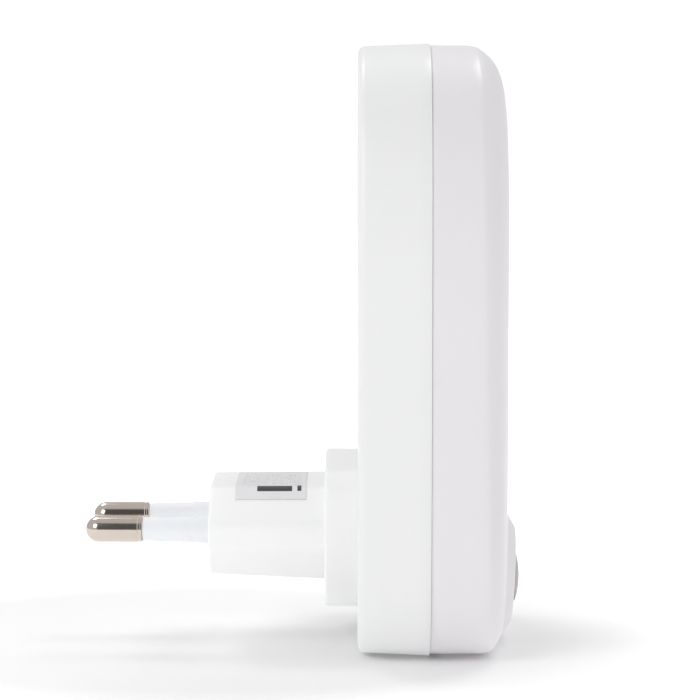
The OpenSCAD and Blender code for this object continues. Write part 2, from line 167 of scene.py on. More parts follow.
# Welds the surfaces and turns the faces outwards
def weldedMesh(name, surfaces, crease=35, uv=None):
    starts = np.cumsum([0] + [len(s[0]) for s in surfaces])
    points = np.vstack([s[0] for s in surfaces])
    triangles = np.vstack([s[1] + c for s, c in zip(surfaces, starts)])
    keys = np.round(points * 1e4).astype(np.int64)
    _, first, same = np.unique(keys, axis=0, return_index=True, return_inverse=True)
    triangles = same.reshape(-1)[triangles]
    a, b, c = triangles.T
    triangles = triangles[(a != b) & (b != c) & (a != c)]
    points = points[first]
    mesh = bpy.data.meshes.new(name)
    mesh.vertices.add(len(points))
    mesh.vertices.foreach_set("co", (points * mm).astype(np.float32).ravel())
    mesh.loops.add(triangles.size)
    mesh.loops.foreach_set("vertex_index", triangles.astype(np.int32).ravel())
    mesh.polygons.add(len(triangles))
    mesh.polygons.foreach_set("loop_start", np.arange(0, triangles.size, 3, dtype=np.int32))
    if uv is not None:
        chart = mesh.uv_layers.new(name="print")
        chart.data.foreach_set("uv", uv[first][triangles.ravel()].astype(np.float32).ravel())
    mesh.update(calc_edges=True)
    work = bmesh.new()
    work.from_mesh(mesh)
    bmesh.ops.recalc_face_normals(work, faces=work.faces)
    work.to_mesh(mesh)
    work.free()
    mesh.shade_smooth()
    mesh.set_sharp_from_angle(angle=math.radians(crease))
    sides = np.sort(np.vstack([triangles[:, [0, 1]], triangles[:, [1, 2]], triangles[:, [2, 0]]]), 1)
    _, uses = np.unique(sides, axis=0, return_counts=True)
    print(f"{name}: {len(triangles)} triangles, {np.sum(uses != 2)} open edges")
    return mesh


def addObject(mesh, material):
    thing = bpy.data.objects.new(mesh.name, mesh)
    bpy.context.scene.collection.objects.link(thing)
    mesh.materials.append(material)
    return thing


def makePiece(name, surfaces, material, body="case", replaces=(), crease=35, uv=None):
    piece = addObject(weldedMesh(name, surfaces, crease, uv), material)
    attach(piece, body)
    if replaces:
        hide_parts(*replaces)
    return piece


# Camera

cameraForm = {"aim": (0.0, -21.3, 26.77), "distance": 554.3, "pitch": 4.5, "roll": 0.1, "lens": 184.4}
aim = Vector(cameraForm["aim"]) * mm
pitch = math.radians(cameraForm["pitch"])
look = Vector((math.cos(pitch), 0.0, -math.sin(pitch)))
cameraData = bpy.data.cameras.new("camera")
cameraData.lens = cameraForm["lens"]
cameraData.sensor_width = 36.0
cameraData.clip_start, cameraData.clip_end = 0.02, 20.0
camera = bpy.data.objects.new("camera", cameraData)
bpy.context.scene.collection.objects.link(camera)
turn = look.to_track_quat("-Z", "Y").to_matrix()
camera.rotation_mode = "QUATERNION"
camera.rotation_quaternion = (
    turn @ Matrix.Rotation(math.radians(cameraForm["roll"]), 3, "Z")
).to_quaternion()
camera.location = aim - look * cameraForm["distance"] * mm
bpy.context.scene.camera = camera
print("camera placed")

# Effects that several materials share


# A new node group with the sockets that are named, and its two end nodes
def newGroup(name, inputs, outputs):
    group = bpy.data.node_groups.new(name, "ShaderNodeTree")
    for label, value in inputs.items():
        kind = "NodeSocketFloat" if isinstance(value, float) else "NodeSocketColor"
        socket = group.interface.new_socket(name=label, in_out="INPUT", socket_type=kind)
        socket.default_value = value
    for label, kind in outputs.items():
        group.interface.new_socket(name=label, in_out="OUTPUT", socket_type="NodeSocket" + kind)
    return group, group.nodes.new("NodeGroupInput"), group.nodes.new("NodeGroupOutput")


def addNode(tree, kind, **values):
    node = tree.nodes.new("ShaderNode" + kind)
    for key, value in values.items():
        if hasattr(node, key):
            setattr(node, key, value)
        else:
            node.inputs[key.replace("_", " ")].default_value = value
    return node


# One step of arithmetic on values that are each a socket or a number
def calc(tree, operation, a, b=0.0, clamp=False):
    node = addNode(tree, "Math")
    node.operation, node.use_clamp = operation, clamp
    for socket, value in zip(node.inputs, (a, b)):
        if isinstance(value, (int, float)):
            socket.default_value = value
        else:
            tree.links.new(value, socket)
    return node.outputs[0]


def times(tree, a, b, clamp=False):
    return calc(tree, "MULTIPLY", a, b, clamp)


def plus(tree, a, b, clamp=False):
    return calc(tree, "ADD", a, b, clamp)


def minus(tree, a, b, clamp=False):
    return calc(tree, "SUBTRACT", a, b, clamp)


# Noise around 0.5, laid out in the piece's own metres unless a vector is given
def noiseAt(tree, scale, detail=2.0, rough=0.5, vector=None):
    node = addNode(tree, "TexNoise", Detail=detail, Roughness=rough)
    if isinstance(scale, (int, float)):
        node.inputs["Scale"].default_value = scale
    else:
        tree.links.new(scale, node.inputs["Scale"])
    if vector is None:
        vector = addNode(tree, "TexCoord").outputs["Object"]
    tree.links.new(vector, node.inputs["Vector"])
    return node.outputs[0]


# Moulded skin: fine spark texture, slow flow marks and the small change of gloss between them
def makeMouldedSkin():
    group, given, out = newGroup(
        "mouldedSkin",
        {"Grain Size": 9000.0, "Grain Depth": 0.5, "Gloss Low": 0.3, "Gloss High": 0.45},
        {"Height": "Float", "Roughness": "Float"},
    )
    fine = noiseAt(group, given.outputs["Grain Size"], 3.0, 0.6)
    slow = noiseAt(group, 90.0, 2.0, 0.5)
    height = times(group, fine, given.outputs["Grain Depth"])
    height = plus(group, height, times(group, slow, 0.35))
    span = minus(group, given.outputs["Gloss High"], given.outputs["Gloss Low"])
    mixed = plus(group, times(group, slow, 0.6), times(group, fine, 0.4))
    gloss = plus(group, given.outputs["Gloss Low"], times(group, mixed, span))
    group.links.new(height, out.inputs["Height"])
    group.links.new(gloss, out.inputs["Roughness"])
    return group


# Tone: the base colour drifts towards a second one over tens of millimetres
def makeToneDrift():
    group, given, out = newGroup(
        "toneDrift",
        {"Base": (0.8, 0.8, 0.8, 1), "Second": (0.7, 0.7, 0.7, 1), "Size": 60.0, "Amount": 0.5},
        {"Color": "Color"},
    )
    drift = noiseAt(group, given.outputs["Size"], 2.0, 0.45)
    factor = times(group, drift, given.outputs["Amount"], True)
    mix = addNode(group, "Mix", data_type="RGBA")
    group.links.new(factor, mix.inputs[0])
    group.links.new(given.outputs["Base"], mix.inputs[6])
    group.links.new(given.outputs["Second"], mix.inputs[7])
    group.links.new(mix.outputs[2], out.inputs["Color"])
    return group


# Edge wear: where the surface turns sharply, broken up by noise
def makeEdgeWear():
    group, given, out = newGroup(
        "edgeWear",
        {"Amount": 0.3, "Breakup": 700.0},
        {"Mask": "Float"},
    )
    bend = addNode(group, "NewGeometry").outputs["Pointiness"]
    edge = times(group, minus(group, bend, 0.53), 9.0, True)
    broken = times(group, edge, noiseAt(group, given.outputs["Breakup"], 3.0, 0.6))
    group.links.new(times(group, broken, given.outputs["Amount"], True), out.inputs["Mask"])
    return group


# Fine dust that settles on what faces up
def makeFineDust():
    group, given, out = newGroup(
        "fineDust",
        {"Amount": 0.1, "Speck Size": 2500.0},
        {"Mask": "Float"},
    )
    facing = addNode(group, "SeparateXYZ")
    group.links.new(addNode(group, "NewGeometry").outputs["Normal"], facing.inputs[0])
    up = calc(group, "MAXIMUM", facing.outputs["Z"], 0.0)
    speck = minus(group, noiseAt(group, given.outputs["Speck Size"], 2.0, 0.7), 0.52)
    speck = times(group, speck, 6.0, True)
    mask = times(group, times(group, up, speck), given.outputs["Amount"], True)
    group.links.new(mask, out.inputs["Mask"])
    return group


mouldedSkin, toneDrift = makeMouldedSkin(), makeToneDrift()
edgeWear, fineDust = makeEdgeWear(), makeFineDust()


def placeGroup(tree, group, **values):
    node = addNode(tree, "Group")
    node.node_tree = group
    for key, value in values.items():
        node.inputs[key.replace("_", " ")].default_value = value
    return node


def newMaterial(name, **values):
    material = bpy.data.materials.new(name)
    material.use_nodes = True
    tree = material.node_tree
    shader = tree.nodes["Principled BSDF"]
    for key, value in values.items():
        shader.inputs[key.replace("_", " ")].default_value = value
    return material, tree, shader


def mixColours(tree, factor, first, second):
    mix = addNode(tree, "Mix", data_type="RGBA")
    for socket, value in ((mix.inputs[0], factor), (mix.inputs[6], first), (mix.inputs[7], second)):
        if isinstance(value, (tuple, int, float)):
            socket.default_value = value
        else:
            tree.links.new(value, socket)
    return mix.outputs[2]


def bumpFrom(tree, height, strength, distance):
    bump = addNode(tree, "Bump", Strength=strength, Distance=distance)
    tree.links.new(height, bump.inputs["Height"])
    return bump.outputs["Normal"]


# Moulded plastic from the four shared effects
def mouldedPlastic(name, base, second, grain=0.5, size=9000.0, gloss=(0.3, 0.45), strength=0.12,
                   drift=(60.0, 0.6), wear=0.25, dust=0.08, **shaderValues):
    material, tree, shader = newMaterial(name, **shaderValues)
    skin = placeGroup(tree, mouldedSkin, Grain_Size=size, Grain_Depth=grain,
                      Gloss_Low=gloss[0], Gloss_High=gloss[1])
    tone = placeGroup(tree, toneDrift, Base=(*base, 1), Second=(*second, 1), Size=drift[0], Amount=drift[1])
    worn = placeGroup(tree, edgeWear, Amount=wear)
    dusty = placeGroup(tree, fineDust, Amount=dust)
    lighter = tuple(min(1.0, c * 1.06 + 0.01) for c in base)
    colour = mixColours(tree, worn.outputs[0], tone.outputs[0], (*lighter, 1))
    colour = mixColours(tree, dusty.outputs[0], colour, (0.72, 0.70, 0.67, 1))
    tree.links.new(colour, shader.inputs["Base Color"])
    rough = plus(tree, skin.outputs["Roughness"], times(tree, dusty.outputs[0], 0.3), True)
    tree.links.new(rough, shader.inputs["Roughness"])
    tree.links.new(bumpFrom(tree, skin.outputs["Height"], strength, 0.00004), shader.inputs["Normal"])
    return material


# Metal with fine drawn lines or a bright plated finish
def metalFinish(name, base, second, gloss=(0.12, 0.2), lines=(900.0, 12000.0, 900.0), strength=0.1,
                wear=0.3):
    material, tree, shader = newMaterial(name, Metallic=1.0)
    place = addNode(tree, "Mapping")
    place.inputs["Scale"].default_value = lines
    tree.links.new(addNode(tree, "TexCoord").outputs["Object"], place.inputs["Vector"])
    grain = noiseAt(tree, 1.0, 3.0, 0.6, place.outputs["Vector"])
    tone = placeGroup(tree, toneDrift, Base=(*base, 1), Second=(*second, 1), Size=350.0, Amount=0.8)
    worn = placeGroup(tree, edgeWear, Amount=wear)
    brighter = tuple(min(1.0, c * 1.25) for c in base)
    tree.links.new(mixColours(tree, worn.outputs[0], tone.outputs[0], (*brighter, 1)),
                   shader.inputs["Base Color"])
    rough = plus(tree, times(tree, grain, gloss[1] - gloss[0]), gloss[0], True)
    tree.links.new(rough, shader.inputs["Roughness"])
    tree.links.new(bumpFrom(tree, grain, strength, 0.00002), shader.inputs["Normal"])
    return material


# Finishes of the outside

whiteShell = mouldedPlastic("whiteShell", (0.83, 0.833, 0.838), (0.81, 0.813, 0.82), gloss=(0.3, 0.4),
                            Specular_IOR_Level=0.5)
lilacShell = mouldedPlastic("lilacShell", (0.785, 0.765, 0.79), (0.765, 0.75, 0.77), gloss=(0.3, 0.42),
                            Specular_IOR_Level=0.5)
plugPlastic = mouldedPlastic("plugPlastic", (0.925, 0.925, 0.93), (0.905, 0.91, 0.915), gloss=(0.34, 0.46))
sleevePlastic = mouldedPlastic("sleevePlastic", (0.86, 0.87, 0.9), (0.84, 0.85, 0.88), gloss=(0.3, 0.4),
                               wear=0.1, Subsurface_Weight=0.15, Subsurface_Scale=0.001)
platedPin = metalFinish("platedPin", (0.66, 0.58, 0.52), (0.6, 0.53, 0.48), gloss=(0.1, 0.18))
buttonMetal = metalFinish("buttonMetal", (0.42, 0.4, 0.39), (0.39, 0.37, 0.36), gloss=(0.34, 0.46),
                          lines=(9000.0, 9000.0, 9000.0))
screwSteel = metalFinish("screwSteel", (0.5, 0.5, 0.51), (0.42, 0.42, 0.43), gloss=(0.25, 0.4))


# Sticker film: grey, with a black bar and rows of pale marks placed by the sticker's own chart
def makeLabelFilm():
    material, tree, shader = newMaterial("labelFilm", Roughness=0.42, Coat_Weight=0.15)
    chart = addNode(tree, "UVMap", uv_map="print")
    split = addNode(tree, "SeparateXYZ")
    tree.links.new(chart.outputs[0], split.inputs[0])
    across, along = split.outputs["X"], split.outputs["Y"]   # mm from the fold, mm from the front end

    # 1 between low and high with soft ends, 0 elsewhere
    def window(value, low, high, soft=0.08):
        rise = calc(tree, "DIVIDE", minus(tree, value, low), soft, True)
        fall = calc(tree, "DIVIDE", minus(tree, high, value), soft, True)
        return times(tree, rise, fall)

    bar = times(tree, window(across, -0.5, 1.15), window(along, 3.25, 8.65))
    mark = times(tree, window(across, -0.75, 1.1), window(along, 9.35, 10.05))
    place = addNode(tree, "Mapping")
    place.inputs["Scale"].default_value = (0.9, 5.2, 1.0)
    tree.links.new(chart.outputs[0], place.inputs["Vector"])
    broken = minus(tree, noiseAt(tree, 1.0, 1.0, 0.4, place.outputs["Vector"]), 0.5)
    rowWave = calc(tree, "SINE", times(tree, across, 3.9))
    rows = times(tree, calc(tree, "GREATER_THAN", rowWave, 0.25), window(along, 0.9, 9.9))
    rows = times(tree, rows, window(across, -16.5, -0.5))
    rows = times(tree, rows, times(tree, broken, 9.0, True))
    tone = placeGroup(tree, toneDrift, Base=(0.78, 0.775, 0.79, 1), Second=(0.73, 0.725, 0.74, 1),
                      Size=300.0, Amount=0.7)
    colour = mixColours(tree, times(tree, rows, 0.75), tone.outputs[0], (0.36, 0.31, 0.31, 1))
    dark = calc(tree, "MAXIMUM", bar, mark)
    colour = mixColours(tree, dark, colour, (0.012, 0.012, 0.013, 1))
    tree.links.new(colour, shader.inputs["Base Color"])
    fibre = noiseAt(tree, 5200.0, 3.0, 0.6)
    tree.links.new(bumpFrom(tree, fibre, 0.08, 0.00003), shader.inputs["Normal"])
    return material


labelFilm = makeLabelFilm()


# Clear acrylic with faint waves and a trace of smear in its gloss
def makeClearWindow():
    material, tree, shader = newMaterial("clearWindow", Metallic=0.0, Transmission_Weight=1.0, IOR=1.49)
    tone = placeGroup(tree, toneDrift, Base=(0.97, 0.98, 0.98, 1), Second=(0.94, 0.96, 0.96, 1),
                      Size=80.0, Amount=0.8)
    tree.links.new(tone.outputs[0], shader.inputs["Base Color"])
    smear = times(tree, noiseAt(tree, 160.0, 4.0, 0.6), 0.08, True)
    tree.links.new(smear, shader.inputs["Roughness"])
    tree.links.new(bumpFrom(tree, noiseAt(tree, 120.0), 0.03, 0.0001), shader.inputs["Normal"])
    return material


clearWindow = makeClearWindow()


# Display glass: grey-green, with the fine grid of its cells and a soft sheen
def makeDisplayGlass():
    material, tree, shader = newMaterial("displayGlass", Roughness=0.16, Coat_Weight=0.4,
                                         Coat_Roughness=0.05)
    tone = placeGroup(tree, toneDrift, Base=(0.43, 0.47, 0.40, 1), Second=(0.38, 0.42, 0.36, 1),
                      Size=45.0, Amount=0.8)
    speck = times(tree, noiseAt(tree, 14000.0, 1.0, 0.4), 0.12, True)
    colour = mixColours(tree, speck, tone.outputs[0], (0.3, 0.33, 0.28, 1))
    tree.links.new(colour, shader.inputs["Base Color"])
    tree.links.new(bumpFrom(tree, noiseAt(tree, 9000.0), 0.04, 0.00002), shader.inputs["Normal"])
    return material


displayGlass = makeDisplayGlass()
segmentInk = mouldedPlastic("segmentInk", (0.02, 0.022, 0.025), (0.03, 0.032, 0.034), gloss=(0.2, 0.3),
                            grain=0.2, wear=0.0, dust=0.0)
ghostInk = mouldedPlastic("ghostInk", (0.34, 0.37, 0.32), (0.32, 0.35, 0.3), gloss=(0.2, 0.3),
                          grain=0.2, wear=0.0, dust=0.0)
print("outside finishes made")

# Case outline

caseForm = {
    "halfWidth": 31.985, "halfHeight": 46.22, "middle": 27.75, "foot": -18.08,
    "topSquare": 3.4, "bottomSquare": 5.0,
    "seam": -33.3, "back": -22.5, "floor": -24.3, "wall": 1.8, "draft": 0.4, "backEdge": 1.1,
    "columns": 372, "notch": (14.5, 19.5), "notchDepth": 1.5,
}


# Superellipse of half size 1 in direction angle: distance = (|cos|^n + |sin|^n) ^ (-1/n)
def outlineAt(angle):
    c, s = np.cos(angle), np.sin(angle)
    n = np.where(s >= 0, caseForm["topSquare"], caseForm["bottomSquare"])
    distance = (np.abs(c) ** n + np.abs(s) ** n) ** (-1 / n)
    return np.stack([distance * c, distance * s], 1)


# Directions of the outline's columns: equal steps of length, and a close pair at each end of a notch
def caseColumns():
    dense = np.linspace(0, 2 * np.pi, 40001)
    size = np.array([caseForm["halfWidth"], caseForm["halfHeight"]])
    points = outlineAt(dense) * size
    length = np.concatenate([[0], np.cumsum(np.hypot(*np.diff(points, axis=0).T))])
    even = np.linspace(0, length[-1], caseForm["columns"], endpoint=False)
    low = (points[:, 1] < 0) & (np.abs(points[:, 0]) < 26)
    near, far = caseForm["notch"]
    ends = np.array([near - 0.03, near, far, far + 0.03])
    ends = np.interp(np.concatenate([-ends, ends]), points[low, 0], length[low])
    even = even[np.abs(even[:, None] - ends).min(1) > 0.3]
    return np.interp(np.sort(np.concatenate([even, ends])), length, dense)


columnAngle = caseColumns()
columnUnit = outlineAt(columnAngle)


# The case's outline, set in by u and cut flat at the foot
def ring(u, thin=1):
    size = np.array([caseForm["halfWidth"] - u, caseForm["halfHeight"] - u])
    points = columnUnit[::thin] * size + [0, caseForm["middle"]]
    points[:, 1] = np.maximum(points[:, 1], caseForm["foot"])
    return points


# How far in a point lies: the u whose outline passes through it, found by halving
def setInAt(x, z):
    n = np.where(z >= caseForm["middle"], caseForm["topSquare"], caseForm["bottomSquare"])
    dz = np.abs(z - caseForm["middle"])
    low, high = np.full(x.shape, -1.0), np.full(x.shape, caseForm["halfWidth"] - 0.01)
    for _ in range(40):
        u = (low + high) / 2
        size = (np.abs(x) / (caseForm["halfWidth"] - u)) ** n + (dz / (caseForm["halfHeight"] - u)) ** n
        low, high = np.where(size < 1, u, low), np.where(size < 1, high, u)
    return (low + high) / 2


def softMin(a, b, blend):
    return (a + b - np.sqrt((a - b) ** 2 + blend ** 2)) / 2


def softMax(a, b, blend):
    return (a + b + np.sqrt((a - b) ** 2 + blend ** 2)) / 2


# Front shell

frontForm = {
    "depth": 12.4, "crown": 1.3, "stepIn": 0.25, "rim": 0.01,
    "padTop": 7.3, "padSlope": 0.6455, "padFace": 13.4, "padTilt": 2.8, "padRound": 0.32, "padFoot": 0.22,
    "buttonZ": -8.1, "hole": 4.35, "holeEdge": 0.18, "guide": 5.65, "guideDepth": 10.6,
    "windowZ": 46.0, "window": (37.3, 25.3, 2.15), "windowEdge": 0.2, "ledge": 10.3,
    "view": (33.6, 21.6, 1.2), "frameBack": 9.5, "frame": (41.8, 29.0, 3.0),
    # bosses: where they stand, and the rest of what post takes
    "bosses": ((((24.0, -7.4), (23.5, 57.0)), (3.0, 1.05, -43.1, -33.5, -41.7)),
               (((16.6, -8.6), (16.6, 26.0)), (2.2, 0.8, -44.1, -38.5, -43.1))),
}


# Depth in front of the seam: a slow crown less an edge that dies away with u
def shellDepth(z, u):
    level = (z - caseForm["middle"]) / caseForm["halfHeight"]
    inner = softMin(u, 29.0, 3.0)
    return (frontForm["depth"] - frontForm["crown"] * (1 - inner / caseForm["halfHeight"]) ** 2
            - (4 + level) * np.exp(-u / (1.9 + 0.45 * level)))


# A tilted flat-topped cone for the button's pad, with a soft edge
def padDepth(x, z, top, face):
    r = np.hypot(x, z - frontForm["buttonZ"])
    lean = (z - frontForm["buttonZ"]) * math.tan(math.radians(frontForm["padTilt"]))
    beyond = softMax(r - top, 0 * r, frontForm["padRound"])
    return face + lean - frontForm["padSlope"] * beyond


def frontDepth(x, z, u):
    pad = padDepth(x, z, frontForm["padTop"], frontForm["padFace"]) - 3.0 * np.exp(-(u - 0.35) / 0.18)
    return softMax(shellDepth(z, u), pad, frontForm["padFoot"])


def hollowDepth(x, z, u):
    pad = padDepth(x, z, 5.5, frontForm["padFace"] - caseForm["wall"]) - 2.0 * np.exp(-(u - 2.5) / 0.3)
    return softMax(shellDepth(z, u) - caseForm["wall"], pad, frontForm["padFoot"])


def ringDepth(u, shape):
    p = ring(u)
    return shape(p[:, 0], p[:, 1], np.full(len(p), u))


def frontRow(u, depth):
    return atY(ring(u), caseForm["seam"] - depth)


# 1 in the columns that a prising notch takes
nearNotch, farNotch = caseForm["notch"]
rimPoints = ring(0)
inNotch = (
    (rimPoints[:, 1] < 0) & (np.abs(rimPoints[:, 0]) > nearNotch - 0.01)
    & (np.abs(rimPoints[:, 0]) < farNotch + 0.01)
)


def notchAt(u):
    return inNotch * (caseForm["notchDepth"] - 0.97 * (u - frontForm["stepIn"]))


def frontShellRows():
    inner, low = ringDepth(2.5, hollowDepth), frontForm["rim"]
    rows = [(2.5, inner), (2.25, inner - 0.5), (2.1, inner - 1.2), (2.05, 4.5), (2.05, 0.3),
            (1.95, -1.35), (1.85, -1.5), (1.14, -1.5), (1.02, -1.36), (1.02, low + notchAt(1.02)),
            (0.38, low + notchAt(0.38)), (0.28, low + 0.03 + notchAt(0.28)),
            (0.25, low + 0.1 + notchAt(0.25))]
    edge = ringDepth(0.35, frontDepth)
    start = edge - 0.9
    rim = low + 0.1 + notchAt(0.25)
    rows += [(0.25 + 0.05 * t, rim + (start - rim) * t) for t in (0.2, 0.4, 0.6, 0.8)]
    end = ringDepth(0.62, frontDepth)
    for t in np.linspace(0, 1, 8):                       # eases the wall into the face
        u = (1 - t) ** 2 * 0.3 + 2 * t * (1 - t) * 0.35 + t ** 2 * 0.62
        rows.append((u, (1 - t) ** 2 * start + 2 * t * (1 - t) * edge + t ** 2 * end))
    rows += [(u, ringDepth(u, frontDepth)) for u in (0.72, 0.85, 1.0, 1.2, 1.4, 1.65)]
    return np.array([frontRow(u, depth) for u, depth in rows])


# y of the face and of the hollow behind it at any (x, z)
def faceY(x, z):
    return caseForm["seam"] - frontDepth(x, z, setInAt(x, z))


def hollowY(x, z):
    return caseForm["seam"] - hollowDepth(x, z, setInAt(x, z))


def onFace(loop, height):
    return atY(loop, height(loop[:, 0], loop[:, 1]))


def frontShellSurfaces():
    seam, z0, zb = caseForm["seam"], frontForm["windowZ"], frontForm["buttonZ"]
    rows = frontShellRows()
    edge = frontForm["windowEdge"]
    w, h, r = frontForm["window"]
    mouth = roundBox(w + 2 * edge, h + 2 * edge, r + edge, 0, z0)
    mouth = onFace(mouth, faceY)
    opening = [mouth]
    for part in (0.35, 0.7, 1.0):                        # a quarter round into the recess
        inset = edge * (1 - math.sin(math.acos(1 - part)) if part < 1 else 0)
        loop = roundBox(w + 2 * inset, h + 2 * inset, r + inset, 0, z0)
        opening.append(atY(loop, mouth[:, 1] + edge * part))
    backing = roundBox(*frontForm["frame"], 0, z0)
    opening += [
        atY(roundBox(w, h, r, 0, z0), seam - frontForm["ledge"]),
        atY(roundBox(*frontForm["view"], 0, z0), seam - frontForm["ledge"]),
        atY(roundBox(*frontForm["view"], 0, z0), seam - frontForm["frameBack"]),
        atY(backing, seam - frontForm["frameBack"]), onFace(backing, hollowY),
    ]
    rim = frontForm["holeEdge"]
    lip = onFace(circle(frontForm["hole"] + rim, 0, zb, 72), faceY)
    bore = circle(frontForm["hole"], 0, zb, 72)
    guide = circle(frontForm["guide"], 0, zb, 72)
    middle = circle(frontForm["hole"] + 0.3 * rim, 0, zb, 72)
    hole = [lip, atY(middle, lip[:, 1] + 0.3 * rim), atY(bore, lip[:, 1] + rim),
            atY(bore, seam - frontForm["guideDepth"]), atY(guide, seam - frontForm["guideDepth"]),
            onFace(guide, hollowY)]
    free = [scatter((-31, -17), (31, 73), 1.5)]
    free = [p[np.hypot(p[:, 0], p[:, 1] - zb) > 10.9] for p in free]
    for u, thin in ((2.0, 1), (2.4, 1), (2.9, 1), (3.5, 1), (4.3, 2), (5.3, 2), (6.6, 2), (8.2, 2)):
        p = ring(u, thin)
        free.append(p[np.hypot(p[:, 0], p[:, 1] - zb) > 10.9])
    pad = [circle(radius, 0, zb, 120) for radius in
           (4.9, 5.5, 6.2, 6.7, 7.0, 7.2, 7.35, 7.5, 7.75, 8.1, 8.5, 8.9, 9.2, 9.45, 9.7, 10.0, 10.5)]
    ridge = [roundBox(w + 2 * g, h + 2 * g, r + g, 0, z0) for g in (0.7, 1.3, 2.2)]
    face = sheetBetween(rows[-1], [mouth, lip], np.vstack(free + pad + ridge), faceY, 0.2)
    inside = np.vstack([scatter((-29, -15), (29, 71), 2.4)] + [ring(u, 2) for u in (3.2, 4.4, 6.5)]
                       + [circle(radius, 0, zb, 48) for radius in (6.3, 7.2)])
    back = sheetBetween(rows[0], [opening[-1], hole[-1]], inside, hollowY, 0.5)
    return [band(rows), band(opening), band(hole), face, back]


# A hollow post whose blind hole starts at its free end
def post(x, z, outer, inner, root, free, holeEnd):
    return turned([(0, root), (outer, root), (outer, free + 0.2 * np.sign(root - free)),
                   (outer - 0.2, free), (inner, free), (inner, holeEnd), (0, holeEnd)], 40, x, z)


def frontPosts():
    posts = []
    for side in (-1, 1):
        for places, sizes in frontForm["bosses"]:
            posts += [post(side * x, z, *sizes) for x, z in places]
    return posts


makePiece("frontShell", frontShellSurfaces() + frontPosts(), lilacShell, replaces=["front_shell"])

# Rear shell

rearForm = {
    "screwAt": ((24.0, -7.4), (23.5, 57.0)), "recess": 2.7, "recessEdge": 0.25, "recessDepth": 3.0,
    "postAt": ((16.4, -9.6), (16.4, 37.0)), "boardBack": -28.0, "slot": (24.2, 10.2, 0.3),
    "plugScrew": 14.5,
}


def rearShellRows():
    back, seam, edge, draft = (caseForm[k] for k in ("back", "seam", "backEdge", "draft"))
    rows = [(2.4, caseForm["floor"]), (2.25, caseForm["floor"] - 0.25), (2.2, caseForm["floor"] - 0.8),
            (1.9, -31.6), (0.9, -31.6), (0.9, seam), (0.08, seam), (0.03, seam + 0.02), (0.0, seam + 0.08)]
    side = back - edge
    rows += [(draft * t, seam + 0.08 + (side - seam - 0.08) * t) for t in (0.2, 0.4, 0.6, 0.8)]
    angles = np.linspace(np.pi / 2, 0, 10)
    rows += [(draft + edge * (1 - np.sin(a)), back - edge * (1 - np.cos(a))) for a in angles]
    return np.array([atY(ring(u), y) for u, y in rows])


def rearShellSurfaces():
    back, floor = caseForm["back"], caseForm["floor"]
    rows = rearShellRows()
    surfaces, outside, inside = [band(rows)], [], []
    spots = [(s * x, z) for s in (-1, 1) for x, z in rearForm["screwAt"]]
    for x, z in spots:
        edge = rearForm["recessEdge"]
        wide, mid = (circle(rearForm["recess"] + part * edge, x, z) for part in (1, 0.3))
        hole = circle(rearForm["recess"], x, z)
        walls = [atY(wide, back), atY(mid, back - 0.3 * edge), atY(hole, back - edge), atY(hole, floor)]
        surfaces.append(band(walls))
        outside.append(walls[0])
        inside.append(walls[-1])
        deep = back - rearForm["recessDepth"]
        cup = [(2.72, floor + 0.25), (2.72, deep), (1.6, deep), (1.6, -33.28), (3.4, -33.28), (3.6, -33.1),
               (3.6, floor + 0.25), (2.72, floor + 0.25)]
        surfaces.append(turned(cup, 48, x, z))
    narrow = [roundBox(*rearForm["slot"])]
    narrow += [circle(1.4, s * rearForm["plugScrew"], 0, 32) for s in (-1, 1)]
    for loop in narrow:
        surfaces.append(band([atY(loop, back), atY(loop, floor)]))
        outside.append(atY(loop, back))
        inside.append(atY(loop, floor))
    free = np.vstack([scatter((-31, -17), (31, 73), 4.0)]
                     + [circle(3.6, x, z, 32) for x, z in spots] + [ring(3.0, 3), ring(6.0, 4)])
    surfaces.append(sheetBetween(rows[-1], outside, free, lambda x, z: back + 0 * x, 0.6))
    surfaces.append(sheetBetween(rows[0], inside, free, lambda x, z: floor + 0 * x, 0.6))
    for s in (-1, 1):
        for x, z in rearForm["postAt"]:
            free = rearForm["boardBack"] + 0.02
            surfaces.append(post(s * x, z, 2.4, 0.95, floor + 0.2, free, floor - 0.2))
    return surfaces


makePiece("rearShell", rearShellSurfaces(), whiteShell, replaces=["rear_shell"])

# Plug

plugForm = {
    "halfWidth": 17.65, "halfHeight": 6.65, "depth": 17.5, "blunt": 2.07, "shoulder": 6.93,
    "endEdge": 0.45, "flange": (40.0, 20.6, 4.2), "flangeZ": -0.45, "flangeBack": -22.5, "flangeEdge": 0.55,
    "spigot": (23.8, 9.8, 0.4), "pinAt": 9.3, "spread": 1.658,
}


# The block's six-sided outline with eased corners, set in by inset, a little larger towards the flange
def blockRow(y, inset=0.0):
    grow = -y / plugForm["depth"]
    w = plugForm["halfWidth"] + 0.35 * grow - inset
    top = plugForm["halfHeight"] + 0.15 * grow - inset
    low = -(plugForm["halfHeight"] + 0.7 * grow - inset)
    blunt, shoulder = plugForm["blunt"], plugForm["shoulder"]
    corners = [(w, blunt), (w - shoulder, top), (-w + shoulder, top), (-w, blunt),
               (-w, -blunt), (-w + shoulder, low), (w - shoulder, low), (w, -blunt)]
    trims = [1.1, 0.9, 0.9, 1.1, 1.1, 0.9, 0.9, 1.1]
    return atY(eased(corners, trims, 6, True), y)


